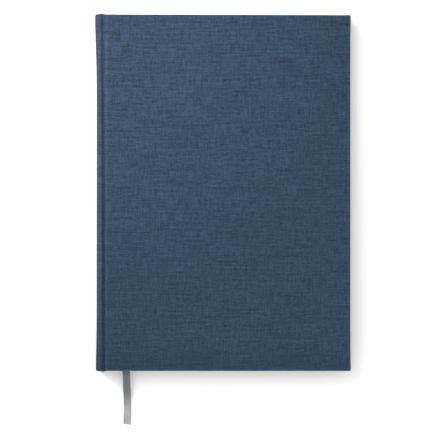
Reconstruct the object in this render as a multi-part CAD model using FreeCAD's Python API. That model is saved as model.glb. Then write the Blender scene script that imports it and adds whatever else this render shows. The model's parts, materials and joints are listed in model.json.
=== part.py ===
import FreeCAD, Part
import math
import os

# A case-bound A4 logbook lying on its back cover: spine at -X, head at +Y, front cover on top (+Z).
# Every length is in millimetres. Inside this file x is measured from the outer face of the spine
# and z from the table; place() moves a finished solid into the shared frame.

# Driving dimensions
LEAF_WIDTH = 210.0
LEAF_HEIGHT = 297.0
COVER_WIDTH = 216.0
COVER_HEIGHT = 303.0
BOARD_THICKNESS = 2.2
SPINE_BOARD_THICKNESS = 2.0
CLOTH = 0.35
TURN_IN_THICKNESS = 0.3
TURN_IN_WIDTH = 15.0
ENDPAPER = 0.15
PAPER = 0.11
JOINT_EDGE = 9.0
SECTIONS = 10
LEAVES_IN_SECTION = 8
LEAVES_AT_THE_RIBBON = 6
GAP = 0.02
COVER_GAP = 0.05
GLUE_LINE = 0.01
BLOCK_START = 3.3
FOLD_RADIUS = 0.6
PIVOT_LIFT = 0.25

# Spine linings, as x ranges from the spine board towards the folds
KRAFT_LINER = (2.72, 2.84)
MULL = (2.86, 2.98)
RIBBON_END = (3.00, 3.13)
THREAD = (3.15, 3.28)
MULL_FLAP_THICKNESS = 0.1
MULL_FLAP_END = 34.0
MULL_FLAP_DROP = (0.13, 0.03)
MULL_HALF_HEIGHT = 130.0
KRAFT_SHORTER = 4.0
SEWING_STATIONS = (-134.0, -100.0, -60.0, -20.0, 20.0, 60.0, 100.0, 134.0)
STITCH_WIDTH = 0.7
THREAD_MARGIN = 0.3

# Groove between the spine and a board, as x of its bends
SHOULDER_END = 3.7
SHOULDER_ROUND = 0.12
GROOVE_FLOOR = (5.0, 6.3)
GROOVE_DEPTH = 1.6
GROOVE_SLANT = 0.2
RISE_THICKENING = 0.1

# The spine's sanded edge as (x, z) from the cloth's outer face, and how much of the cloth's
# thickness moves its middle point in x and its last point in z
SPINE_EDGE = ((2.35, 0.12), (0.7, 0.65), (0.0, 1.7))
EDGE_SHARES = (0.4, 0.5)

# Bands at the head and tail of the folds
BAND_RADIUS = 0.95
BAND_X = 4.35
BAND_MARGIN = 0.15
BAND_GAP = 0.05
TAPE_THICKNESS = 0.12
TAPE_OVERLAP = 0.2

# Ribbon marker
RIBBON_WIDTH = 6.0
RIBBON_THICKNESS = 0.25
RIBBON_GAP = 0.3
RIBBON_GLUED_LENGTH = 30.0
RIBBON_HEAD_MARGIN = 1.0
RIBBON_HEAD_X = 11.6
RIBBON_EXIT_X = 24.5
RIBBON_ON_TABLE = 0.145
ARC_SHARE = 0.45

# Thicknesses worked out from the ones above
INNER_FACE = CLOTH + BOARD_THICKNESS + TURN_IN_THICKNESS + ENDPAPER
BOARD_TOP = CLOTH + BOARD_THICKNESS
HALF_LEAF = LEAF_HEIGHT / 2
HALF_COVER = COVER_HEIGHT / 2
BLOCK_END = BLOCK_START + LEAF_WIDTH


def block(x0, x1, y0, y1, z0, z1):
    """A box between two corners."""
    return Part.makeBox(x1 - x0, y1 - y0, z1 - z0, FreeCAD.Vector(x0, y0, z0))


def strip(outline, half_length):
    """A solid of constant section: outline is a list of (x, z) points, run along Y."""
    points = [FreeCAD.Vector(x, -half_length, z) for x, z in outline]
    face = Part.Face(Part.makePolygon(points + points[:1]))
    return face.extrude(FreeCAD.Vector(0, 2 * half_length, 0))


def to_front(shape):
    """The front cover's copy of a back cover piece: mirrored about the book's middle."""
    middle = FreeCAD.Vector(0, 0, THICKNESS / 2)
    return shape.mirror(middle, FreeCAD.Vector(0, 0, 1))


def place(shape):
    """Moves a shape from spine-based x to the shared frame, centred on the cover."""
    moved = shape.copy()
    moved.translate(FreeCAD.Vector(-COVER_WIDTH / 2, 0, 0))
    return moved


def save(name, shape):
    """Writes one node."""
    place(shape).exportStep("parts/" + name + ".step")


# The stack of paper, from the back cover up

def paper_stack():
    """Each paper body's height: name -> (bottom, top), and the ribbon's height."""
    levels = {}
    z = INNER_FACE + COVER_GAP
    levels["back_flyleaf"] = (z, z + ENDPAPER)
    z = levels["back_flyleaf"][1] + GAP
    half = SECTIONS // 2
    for number in range(SECTIONS, half, -1):
        top = z + LEAVES_IN_SECTION * PAPER
        levels["section_%02d" % number] = (z, top)
        z = top + GAP
    ribbon = (z + GLUE_LINE, z + GLUE_LINE + RIBBON_THICKNESS)
    z += RIBBON_GAP
    for name in ("turning_leaf_2", "turning_leaf_1"):
        levels[name] = (z, z + PAPER)
        z += PAPER + GAP
    for number in range(half, 0, -1):
        leaves = LEAVES_AT_THE_RIBBON if number == half else LEAVES_IN_SECTION
        levels["section_%02d" % number] = (z, z + leaves * PAPER)
        z += leaves * PAPER + GAP
    levels["front_flyleaf"] = (z, z + ENDPAPER)
    total = z + ENDPAPER + COVER_GAP + INNER_FACE
    return levels, ribbon, total


LEVELS, RIBBON_LEVEL, THICKNESS = paper_stack()


def pivot_x(level):
    """How far from the spine face a paper body bends: the nearer cover sets it."""
    middle = (level[0] + level[1]) / 2
    return min(middle, THICKNESS - middle) + PIVOT_LIFT


def leaf_body(level):
    """The flat part of a flyleaf, a section or a single leaf."""
    return block(pivot_x(level) + FOLD_RADIUS, BLOCK_END, -HALF_LEAF, HALF_LEAF, *level)


def section_folds():
    """The sewn folds between the spine linings and where each paper body bends."""
    clear = FOLD_RADIUS - COVER_GAP
    folds = [block(BLOCK_START, pivot_x(level) + clear, -HALF_LEAF, HALF_LEAF, *level)
             for level in LEVELS.values()]
    return Part.makeCompound(folds)


# Covers

def board():
    return block(JOINT_EDGE, COVER_WIDTH - CLOTH, -HALF_COVER + CLOTH, HALF_COVER - CLOTH, CLOTH, BOARD_TOP)


def turn_in_window():
    """The part of a board's inner face that the turned-in cloth leaves bare."""
    half = HALF_COVER - TURN_IN_WIDTH
    return (JOINT_EDGE - 1, COVER_WIDTH - TURN_IN_WIDTH, -half, half)


def cover_cloth():
    """Cloth over a board's outer face, round three edges and turned in."""
    skin = block(JOINT_EDGE, COVER_WIDTH, -HALF_COVER, HALF_COVER, 0, BOARD_TOP + TURN_IN_THICKNESS)
    window = block(*turn_in_window(), BOARD_TOP, BOARD_TOP + 1)
    return skin.cut(board()).cut(window)


def mull_flap():
    """The lining cloth's flap: across the joint and onto the board's inner face."""
    top = BOARD_TOP + MULL_FLAP_THICKNESS
    on_board = block(JOINT_EDGE, MULL_FLAP_END, -MULL_HALF_HEIGHT, MULL_HALF_HEIGHT, BOARD_TOP, top)
    low, high = [BOARD_TOP - drop for drop in MULL_FLAP_DROP]
    crossing = strip([(MULL[1], low), (MULL[1], high), (JOINT_EDGE, top), (JOINT_EDGE, BOARD_TOP)],
                     MULL_HALF_HEIGHT)
    return on_board.fuse(crossing).removeSplitter()


def pastedown():
    """Endpaper glued down: it steps over the turn-ins and the mull flap."""
    x0, x1, y0, y1 = turn_in_window()
    ledge = ENDPAPER
    sheet = block(JOINT_EDGE, BLOCK_END, -HALF_LEAF, HALF_LEAF, BOARD_TOP, INNER_FACE)
    half_flap = MULL_HALF_HEIGHT
    flap_top = BOARD_TOP + MULL_FLAP_THICKNESS
    pocket = block(x0, x1 - ledge, y0 + ledge, y1 - ledge, BOARD_TOP + ENDPAPER, INNER_FACE + 1)
    over_flap = block(JOINT_EDGE, MULL_FLAP_END + ledge, -half_flap - ledge, half_flap + ledge,
                      BOARD_TOP, flap_top + ENDPAPER)
    flap = block(JOINT_EDGE - 1, MULL_FLAP_END, -half_flap, half_flap, BOARD_TOP - 1, flap_top)
    turn_ins = block(JOINT_EDGE - 1, COVER_WIDTH, -HALF_COVER, HALF_COVER, BOARD_TOP - 1,
                     BOARD_TOP + TURN_IN_THICKNESS)
    turn_ins = turn_ins.cut(block(x0, x1, y0, y1, BOARD_TOP - 1, INNER_FACE))
    return sheet.cut(pocket).cut(turn_ins).fuse(over_flap).cut(flap).removeSplitter()


def joint_cloth():
    """Cloth of the groove: shoulder, floor and rise to the board's edge."""
    floor_start, floor_end = GROOVE_FLOOR
    start = SPINE_CLOTH_END + GAP
    crest = SHOULDER_END - 2 * GROOVE_SLANT
    edge = JOINT_EDGE - GAP
    under = GROOVE_DEPTH + CLOTH
    outer = [(start, SHOULDER_ROUND), (crest, 0.0), (SHOULDER_END, SHOULDER_ROUND),
             (floor_start, GROOVE_DEPTH), (floor_end, GROOVE_DEPTH), (edge, 0.0)]
    inner = [(edge, CLOTH + RISE_THICKENING), (floor_end + GROOVE_SLANT, under),
             (floor_start - GROOVE_SLANT, under), (crest, CLOTH), (start, CLOTH + SHOULDER_ROUND)]
    return strip(outer + inner, HALF_COVER)


def endpaper_hinge():
    """The endpaper's strip from the board's edge to the first fold, over the mull."""
    edge = JOINT_EDGE - GAP
    bottom = BOARD_TOP + MULL_FLAP_THICKNESS + GLUE_LINE
    fold = BLOCK_START + 0.1
    fold_top = INNER_FACE + 3 * GLUE_LINE
    return strip([(edge, bottom), (edge, bottom + ENDPAPER), (fold, fold_top), (fold, fold_top - ENDPAPER)],
                 HALF_LEAF)


# Spine

SPINE_CLOTH_END = CLOTH + SPINE_BOARD_THICKNESS


def spine_outline(inset):
    """The spine's outline with sanded edges, this far inside the cloth's outer face."""
    (x0, z0), (x1, z1), (x2, z2) = SPINE_EDGE
    middle, last = EDGE_SHARES
    lower = [(x0, z0 + inset), (x1 + middle * inset, z1 + inset), (x2 + inset, z2 + last * inset)]
    return lower + [(x, THICKNESS - z) for x, z in lower[::-1]]


def spine_board():
    return strip(spine_outline(CLOTH), HALF_COVER - CLOTH)


def spine_cloth():
    """Cloth over the spine board's outer face and edges, turned in at head and tail."""
    inner = SPINE_CLOTH_END + TURN_IN_THICKNESS
    skin = strip(spine_outline(0), HALF_COVER)
    margin = 3 * CLOTH
    turned = block(SPINE_CLOTH_END, inner, -HALF_COVER, HALF_COVER, margin, THICKNESS - margin)
    half = HALF_COVER - TURN_IN_WIDTH
    turned = turned.cut(block(SPINE_CLOTH_END, inner + 1, -half, half, 0, THICKNESS))
    return skin.fuse(turned).cut(spine_board()).removeSplitter()


def lining(x_range, half_height, margin):
    """A flat lining down the spine, margin in from both covers."""
    return block(*x_range, -half_height, half_height, margin, THICKNESS - margin)


def sewing_thread():
    """The thread's runs over the backs of the sections, one for each station."""
    low = LEVELS["section_%02d" % SECTIONS][0] + THREAD_MARGIN
    high = LEVELS["section_01"][1] - THREAD_MARGIN
    runs = [block(*THREAD, y - STITCH_WIDTH / 2, y + STITCH_WIDTH / 2, low, high)
            for y in SEWING_STATIONS]
    return Part.makeCompound(runs)


def band(side):
    """Headband (side = 1) or tailband (side = -1): a round bead with its glued tape."""
    low = INNER_FACE + BAND_MARGIN
    height = THICKNESS - 2 * low
    centre_y = side * (HALF_LEAF + BAND_GAP + BAND_RADIUS)
    bead = Part.makeCylinder(BAND_RADIUS, height, FreeCAD.Vector(BAND_X, centre_y, low))
    tape_x = (BLOCK_START - TAPE_THICKNESS, BAND_X)
    outer_y = centre_y + side * TAPE_OVERLAP
    inner_y = side * (HALF_LEAF + BAND_GAP)
    tape = block(*tape_x, min(inner_y, outer_y), max(inner_y, outer_y), low, low + height)
    return bead.fuse(tape).removeSplitter()


# Ribbon

def ribbon_glued_end():
    """The ribbon's end, glued down the head of the spine under the mull."""
    middle = (RIBBON_LEVEL[0] + RIBBON_LEVEL[1]) / 2
    return block(*RIBBON_END, HALF_LEAF - RIBBON_GLUED_LENGTH, HALF_LEAF,
                 middle - RIBBON_WIDTH / 2, middle + RIBBON_WIDTH / 2)


def ribbon_in_block():
    """The ribbon's straight run between two sections, slanting out from the spine."""
    half = RIBBON_WIDTH / 2
    head_y = HALF_LEAF - RIBBON_HEAD_MARGIN
    corners = [(RIBBON_HEAD_X - half, head_y), (RIBBON_HEAD_X + half, head_y),
               (RIBBON_EXIT_X + half, -HALF_LEAF), (RIBBON_EXIT_X - half, -HALF_LEAF)]
    points = [FreeCAD.Vector(x, y, RIBBON_LEVEL[0]) for x, y in corners]
    face = Part.Face(Part.makePolygon(points + points[:1]))
    return face.extrude(FreeCAD.Vector(0, 0, RIBBON_THICKNESS))


def tail_route():
    """The free tail's points (x, y, z): out between the leaves, down and along the table."""
    exit_z = (RIBBON_LEVEL[0] + RIBBON_LEVEL[1]) / 2
    return [
        (RIBBON_EXIT_X, -HALF_LEAF, exit_z),
        (24.9, -160.0, exit_z),
        (25.3, -180.0, RIBBON_ON_TABLE),
        (25.2, -191.0, RIBBON_ON_TABLE),
        (24.9, -198.2, RIBBON_ON_TABLE),
    ]


def bend(before, corner, after):
    """Start, middle and end of the largest arc at a corner, with its radius (2D points)."""
    a = [before[i] - corner[i] for i in (0, 1)]
    b = [after[i] - corner[i] for i in (0, 1)]
    run_a = math.hypot(*a)
    run_b = math.hypot(*b)
    turn = math.pi - math.acos((a[0] * b[0] + a[1] * b[1]) / (run_a * run_b))
    reach = ARC_SHARE * min(run_a, run_b)
    radius = reach / math.tan(turn / 2)
    start = [corner[i] + a[i] / run_a * reach for i in (0, 1)]
    end = [corner[i] + b[i] / run_b * reach for i in (0, 1)]
    inward = [a[i] / run_a + b[i] / run_b for i in (0, 1)]
    size = math.hypot(*inward)
    depth = radius / math.cos(turn / 2) - radius
    middle = [corner[i] + inward[i] / size * depth for i in (0, 1)]
    return start, middle, end, radius


def side_line(height):
    """Edges of the tail's side view, from the block's edge to the tip, at one face's height."""
    route = [(y, z + height) for x, y, z in tail_route()]
    exit_point, top_corner, foot, rest, tip = route
    top = bend(exit_point, top_corner, foot)
    low = bend(top_corner, foot, rest)
    stops = [exit_point, top[0], top[1], top[2], low[0], low[1], low[2], tip]
    v = [FreeCAD.Vector(0, y, z) for y, z in stops]
    return [Part.LineSegment(v[0], v[1]).toShape(), Part.Arc(v[1], v[2], v[3]).toShape(),
            Part.LineSegment(v[3], v[4]).toShape(), Part.Arc(v[4], v[5], v[6]).toShape(),
            Part.LineSegment(v[6], v[7]).toShape()], v, (top[3], low[3])


def ribbon_tail():
    """The free tail: its side view run across, cut to its outline seen from above."""
    half = RIBBON_THICKNESS / 2
    lower, low_points, _ = side_line(-half)
    upper, high_points, _ = side_line(half)
    start = Part.LineSegment(low_points[0], high_points[0]).toShape()
    tip = Part.LineSegment(low_points[-1], high_points[-1]).toShape()
    face = Part.Face(Part.Wire(Part.__sortEdges__(lower + upper + [start, tip])))
    body = face.extrude(FreeCAD.Vector(2 * RIBBON_EXIT_X, 0, 0))
    left = [(x - RIBBON_WIDTH / 2, y) for x, y, z in tail_route()]
    right = [(x + RIBBON_WIDTH / 2, y) for x, y, z in tail_route()]
    plan = [FreeCAD.Vector(x, y, -1) for x, y in left + right[::-1]]
    outline = Part.Face(Part.makePolygon(plan + plan[:1])).extrude(FreeCAD.Vector(0, 0, THICKNESS))
    return body.common(outline)


def report_tail():
    """Prints the tail's arcs and compares its volume with its section times its length."""
    edges, _, radii = side_line(0.0)
    length = sum(edge.Length for edge in edges)
    volume = ribbon_tail().Volume
    print("ribbon tail: length %.1f mm, radii %s mm" % (length, ["%.1f" % r for r in radii]))
    print("ribbon tail volume %.1f mm3, section times length %.1f mm3"
          % (volume, RIBBON_WIDTH * RIBBON_THICKNESS * length))


def main():
    os.makedirs("parts", exist_ok=True)
    save("back_board", board())
    save("back_cover_cloth", cover_cloth())
    save("back_mull_flap", mull_flap())
    save("back_pastedown", pastedown())
    save("back_joint_cloth", joint_cloth())
    save("back_endpaper_hinge", endpaper_hinge())
    save("front_board", to_front(board()))
    save("front_cover_cloth", to_front(cover_cloth()))
    save("front_mull_flap", to_front(mull_flap()))
    save("front_pastedown", to_front(pastedown()))
    save("front_joint_cloth", to_front(joint_cloth()))
    save("front_endpaper_hinge", to_front(endpaper_hinge()))
    save("spine_board", spine_board())
    save("spine_cloth", spine_cloth())
    save("kraft_liner", lining(KRAFT_LINER, HALF_LEAF - KRAFT_SHORTER, INNER_FACE))
    save("mull", lining(MULL, MULL_HALF_HEIGHT, BOARD_TOP))
    save("sewing_thread", sewing_thread())
    save("headband", band(1))
    save("tailband", band(-1))
    save("section_folds", section_folds())
    for name, level in LEVELS.items():
        save(name, leaf_body(level))
    save("ribbon_glued_end", ribbon_glued_end())
    save("ribbon_in_block", ribbon_in_block())
    save("ribbon_tail", ribbon_tail())
    report_tail()
    print("thickness %.2f mm" % THICKNESS)
    for name, level in LEVELS.items():
        print("%-16s z %.3f to %.3f, bends at x %.3f" % (name, level[0], level[1], pivot_x(level)))


main()
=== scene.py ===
import json
import math
import random

import bmesh
import bpy
import numpy as np
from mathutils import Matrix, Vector

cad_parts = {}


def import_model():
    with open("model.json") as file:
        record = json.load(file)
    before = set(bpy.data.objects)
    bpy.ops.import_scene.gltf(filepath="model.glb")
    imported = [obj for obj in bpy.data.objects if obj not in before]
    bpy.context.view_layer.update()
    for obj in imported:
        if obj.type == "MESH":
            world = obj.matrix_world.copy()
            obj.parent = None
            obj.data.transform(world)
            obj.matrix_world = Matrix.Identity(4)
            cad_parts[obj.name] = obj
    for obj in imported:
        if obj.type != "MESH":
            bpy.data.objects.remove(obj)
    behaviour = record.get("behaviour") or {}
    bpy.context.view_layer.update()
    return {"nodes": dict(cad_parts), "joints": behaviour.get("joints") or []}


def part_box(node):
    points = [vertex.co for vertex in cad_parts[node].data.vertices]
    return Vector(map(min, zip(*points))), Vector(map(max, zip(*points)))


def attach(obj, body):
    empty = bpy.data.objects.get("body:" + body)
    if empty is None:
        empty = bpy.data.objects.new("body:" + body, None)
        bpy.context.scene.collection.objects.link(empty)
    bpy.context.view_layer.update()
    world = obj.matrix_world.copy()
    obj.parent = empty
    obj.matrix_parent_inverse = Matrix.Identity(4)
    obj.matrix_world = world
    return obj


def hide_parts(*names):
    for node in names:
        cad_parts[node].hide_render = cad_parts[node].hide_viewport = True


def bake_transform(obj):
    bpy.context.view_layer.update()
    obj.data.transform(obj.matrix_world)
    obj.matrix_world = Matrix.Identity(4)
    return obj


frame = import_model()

# A cloth-bound A4 logbook that lies on its back cover. Inside this file x is in millimetres from the
# spine's outer face, y from the middle of the book towards its head, and z or depth from the table
# or from a cover's outer face. world() turns such a point into the frame's metres.

MM = 0.001
SPINE_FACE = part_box("spine_cloth")[0].x
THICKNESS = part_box("front_cover_cloth")[1].z / MM
COVER_WIDTH = (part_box("back_cover_cloth")[1].x - SPINE_FACE) / MM
HALF_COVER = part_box("back_cover_cloth")[1].y / MM
HALF_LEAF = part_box("section_01")[1].y / MM
LEAF_END = (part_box("section_01")[1].x - SPINE_FACE) / MM
BLOCK_START = (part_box("section_folds")[0].x - SPINE_FACE) / MM
BOARD_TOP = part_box("back_board")[1].z / MM
TURNED_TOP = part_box("back_cover_cloth")[1].z / MM

CLOTH = 0.3
TURN_IN = 15.0
JOINT_EDGE = 9.0
EDGE_RADIUS = 0.6
CORNER_RADIUS = 0.8
RIBBON_WIDTH = 6.0
SATIN_WIDTH = 6.3
RIBBON_THICKNESS = 0.22
UP = Vector((0, 0, 1))
WELD = 0.002
MITRE_LIMIT = 0.75


def world(x, y, z):
    """A point of the book in the frame's metres."""
    return (SPINE_FACE + x * MM, y * MM, z * MM)


# Mesh helpers

def smooth_line(controls, steps):
    """Points on a smooth line through the controls (Catmull-Rom), steps for each stretch."""
    c = np.array(controls, float)
    c = np.vstack([2 * c[0] - c[1], c, 2 * c[-1] - c[-2]])
    t = np.linspace(0, 1, steps, endpoint=False)[:, None]
    stretches = []
    for a, b, d, e in zip(c[:-3], c[1:-2], c[2:-1], c[3:]):
        stretches.append(0.5 * (2 * b + (d - a) * t + (2 * a - 5 * b + 4 * d - e) * t ** 2
                                + (3 * b - a - 3 * d + e) * t ** 3))
    return np.vstack(stretches + [c[-2:-1]])


def ease(share):
    """A share from 0 to 1 that starts and stops softly."""
    share = min(max(share, 0), 1)
    return share * share * (3 - 2 * share)


def grid_faces(rows, columns, first=0):
    """Quads between neighbouring rows of a grid of points."""
    return [(first + r * columns + c, first + r * columns + c + 1,
             first + (r + 1) * columns + c + 1, first + (r + 1) * columns + c)
            for r in range(rows - 1) for c in range(columns - 1)]


def tube_faces(rings, around, first=0):
    """Quads between neighbouring closed rings of points, and a cap at each end."""
    faces = []
    for ring in range(rings - 1):
        for c in range(around):
            a = first + ring * around + c
            b = first + ring * around + (c + 1) % around
            faces.append((a, b, b + around, a + around))
    faces.append(tuple(first + c for c in range(around))[::-1])
    faces.append(tuple(first + (rings - 1) * around + c for c in range(around)))
    return faces


def mesh_object(name, places, faces, uv, wear=None):
    """A mesh object from places in metres. The flat cut's millimetres become a UV in metres, so
    that a weave keeps its scale."""
    mesh = bpy.data.meshes.new(name)
    mesh.from_pydata(places, [], faces)
    corners = np.zeros(len(mesh.loops), np.int32)
    mesh.loops.foreach_get("vertex_index", corners)
    layer = mesh.uv_layers.new(name="Cut")
    layer.data.foreach_set("uv", (np.array(uv, float)[corners] * MM).astype(np.float32).ravel())
    # Per point: how pale the cloth is made, for its worn edges and for painted highlights
    if wear is not None:
        attribute = mesh.attributes.new("wear", "FLOAT", "POINT")
        attribute.data.foreach_set("value", np.array(wear, np.float32))
    obj = bpy.data.objects.new(name, mesh)
    bpy.context.scene.collection.objects.link(obj)
    return obj


def make_piece(name, points, faces, uv, wear=None):
    """A mesh object from the book's own points in millimetres."""
    return mesh_object(name, [world(*p) for p in points], faces, uv, wear)


def outward(obj, weld=0.0):
    """Makes all faces of a skin look outwards, first joining points nearer than weld millimetres."""
    bm = bmesh.new()
    bm.from_mesh(obj.data)
    if weld:
        bmesh.ops.remove_doubles(bm, verts=bm.verts, dist=weld * MM)
        bmesh.ops.dissolve_degenerate(bm, edges=bm.edges, dist=weld * MM / 10)
    bmesh.ops.recalc_face_normals(bm, faces=bm.faces)
    bm.to_mesh(obj.data)
    bm.free()


def face_towards(obj, direction):
    """Turns the whole skin over if its largest face looks away from direction."""
    largest = max(obj.data.polygons, key=lambda face: face.area)
    if largest.normal.dot(Vector(direction)) < 0:
        obj.data.flip_normals()


def thicken(obj, thickness):
    """Gives a skin a thickness behind its normals: a second skin inside and a rim between them."""
    mesh = obj.data
    bm = bmesh.new()
    bm.from_mesh(mesh)
    bm.normal_update()
    uv = bm.loops.layers.uv.active
    wear = bm.verts.layers.float.get("wear")
    skin = list(bm.faces)
    rim = [edge for edge in bm.edges if len(edge.link_faces) == 1]
    inner = {}
    for vertex in list(bm.verts):
        spread = min((vertex.normal.dot(f.normal) for f in vertex.link_faces), default=1.0)
        reach = thickness * MM / min(max(spread, MITRE_LIMIT), 1.0)
        inner[vertex] = bm.verts.new(vertex.co - vertex.normal * reach)
        if wear is not None:
            inner[vertex][wear] = 0.0
    for face in skin:
        cuts = {loop.vert: loop[uv].uv.copy() for loop in face.loops}
        twin = bm.faces.new([inner[v] for v in reversed(face.verts)])
        for loop, vertex in zip(twin.loops, reversed(face.verts)):
            loop[uv].uv = cuts[vertex]
    for edge in rim:
        loop = edge.link_loops[0]
        a, b = loop.vert, loop.link_loop_next.vert
        cut_a, cut_b = loop[uv].uv.copy(), loop.link_loop_next[uv].uv.copy()
        side = bm.faces.new([b, a, inner[a], inner[b]])
        for corner, cut in zip(side.loops, (cut_b, cut_a, cut_a, cut_b)):
            corner[uv].uv = cut
    bm.to_mesh(mesh)
    bm.free()


def shade(obj, material, angle=40):
    """Smooth shading with crisp edges above an angle, and one material."""
    obj.data.materials.clear()
    obj.data.materials.append(material)
    obj.data.shade_smooth()
    obj.data.set_sharp_from_angle(angle=math.radians(angle))


# Material helpers

class Shader:
    """A material's node tree, built by short calls."""

    def __init__(self, name, roughness, **sockets):
        self.material = bpy.data.materials.new(name)
        self.material.use_nodes = True
        self.tree = self.material.node_tree
        self.principled = self.tree.nodes["Principled BSDF"]
        self.set(Roughness=roughness, **sockets)

    def set(self, **sockets):
        for key, value in sockets.items():
            self.principled.inputs[key.replace("_", " ")].default_value = value

    def node(self, kind, **settings):
        node = self.tree.nodes.new(kind)
        for key, value in settings.items():
            setattr(node, key, value)
        return node

    def link(self, source, target):
        self.tree.links.new(source, target)

    def put(self, value, socket):
        """A number, a colour or another node's output into a socket."""
        if isinstance(value, bpy.types.NodeSocket):
            self.link(value, socket)
        else:
            socket.default_value = value

    def math(self, operation, a, b=0.0, c=0.0):
        node = self.node("ShaderNodeMath", operation=operation)
        for value, socket in zip((a, b, c), node.inputs):
            self.put(value, socket)
        return node.outputs[0]

    def mix(self, factor, a, b, blend="MIX"):
        node = self.node("ShaderNodeMix", data_type="RGBA", blend_type=blend)
        self.put(factor, node.inputs["Factor"])
        for value, index in ((a, 6), (b, 7)):
            self.put(value, node.inputs[index])
        return node.outputs[2]

    def remap(self, value, low, high, to_low=0.0, to_high=1.0):
        node = self.node("ShaderNodeMapRange")
        for item, socket in zip((value, low, high, to_low, to_high), node.inputs):
            self.put(item, socket)
        return node.outputs[0]

    def place(self, uv=True):
        """Where on the piece: its flat cut in metres, or its place in the frame."""
        node = self.node("ShaderNodeTexCoord")
        return node.outputs["UV" if uv else "Object"]

    def split(self, vector):
        node = self.node("ShaderNodeSeparateXYZ")
        self.link(vector, node.inputs[0])
        return node.outputs

    def times(self, a, b):
        return self.math("MULTIPLY", a, b)

    def wave(self, value, pitch):
        """A zigzag from 0 to 0.5 and back with this pitch in millimetres."""
        return self.math("PINGPONG", self.math("DIVIDE", value, pitch * MM), 0.5)

    def noise(self, place, scale, detail=2.0, roughness=0.5, offset=(0, 0, 0)):
        """Noise stretched by a scale for each axis, in cells to the metre."""
        mapping = self.node("ShaderNodeMapping")
        mapping.inputs["Scale"].default_value = scale
        mapping.inputs["Location"].default_value = offset
        self.link(place, mapping.inputs["Vector"])
        node = self.node("ShaderNodeTexNoise")
        node.inputs["Scale"].default_value = 1.0
        node.inputs["Detail"].default_value = detail
        node.inputs["Roughness"].default_value = roughness
        self.link(mapping.outputs[0], node.inputs["Vector"])
        return node.outputs["Fac"]

    def colour(self, value):
        self.put(value, self.principled.inputs["Base Color"])

    def rough(self, value):
        self.put(value, self.principled.inputs["Roughness"])

    def bump(self, height, depth, strength):
        """Relief: height from 0 to 1 stands for this depth in millimetres."""
        node = self.node("ShaderNodeBump")
        node.inputs["Strength"].default_value = strength
        node.inputs["Distance"].default_value = depth * MM
        self.link(height, node.inputs["Height"])
        self.link(node.outputs[0], self.principled.inputs["Normal"])


def rgb(red, green, blue):
    """A colour given as on a screen, from 0 to 255, as the shader's linear one."""
    linear = [((c / 255 + 0.055) / 1.055) ** 2.4 if c > 10 else c / 255 / 12.92
              for c in (red, green, blue)]
    return (*linear, 1.0)


def darker(colour, share):
    """A share of a colour given as on a screen, as the shader's linear one."""
    return rgb(*[c * share for c in colour])


# Yarns and relief in millimetres; painted shade darkens the cloth towards the tail edge by at most its
# share
WARP_PITCH, WEFT_PITCH = 0.52, 0.58
CLOTH_RELIEF = 0.11
DEEP_BLUE = rgb(16, 33, 54)
PALE_WEAR_AND_HIGHLIGHT = rgb(84, 99, 113)
GREENISH = (0.97, 1.06, 0.96, 1.0)
TAIL_SHADE_REACH = 26.5
TAIL_SHADE = 0.36


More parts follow.
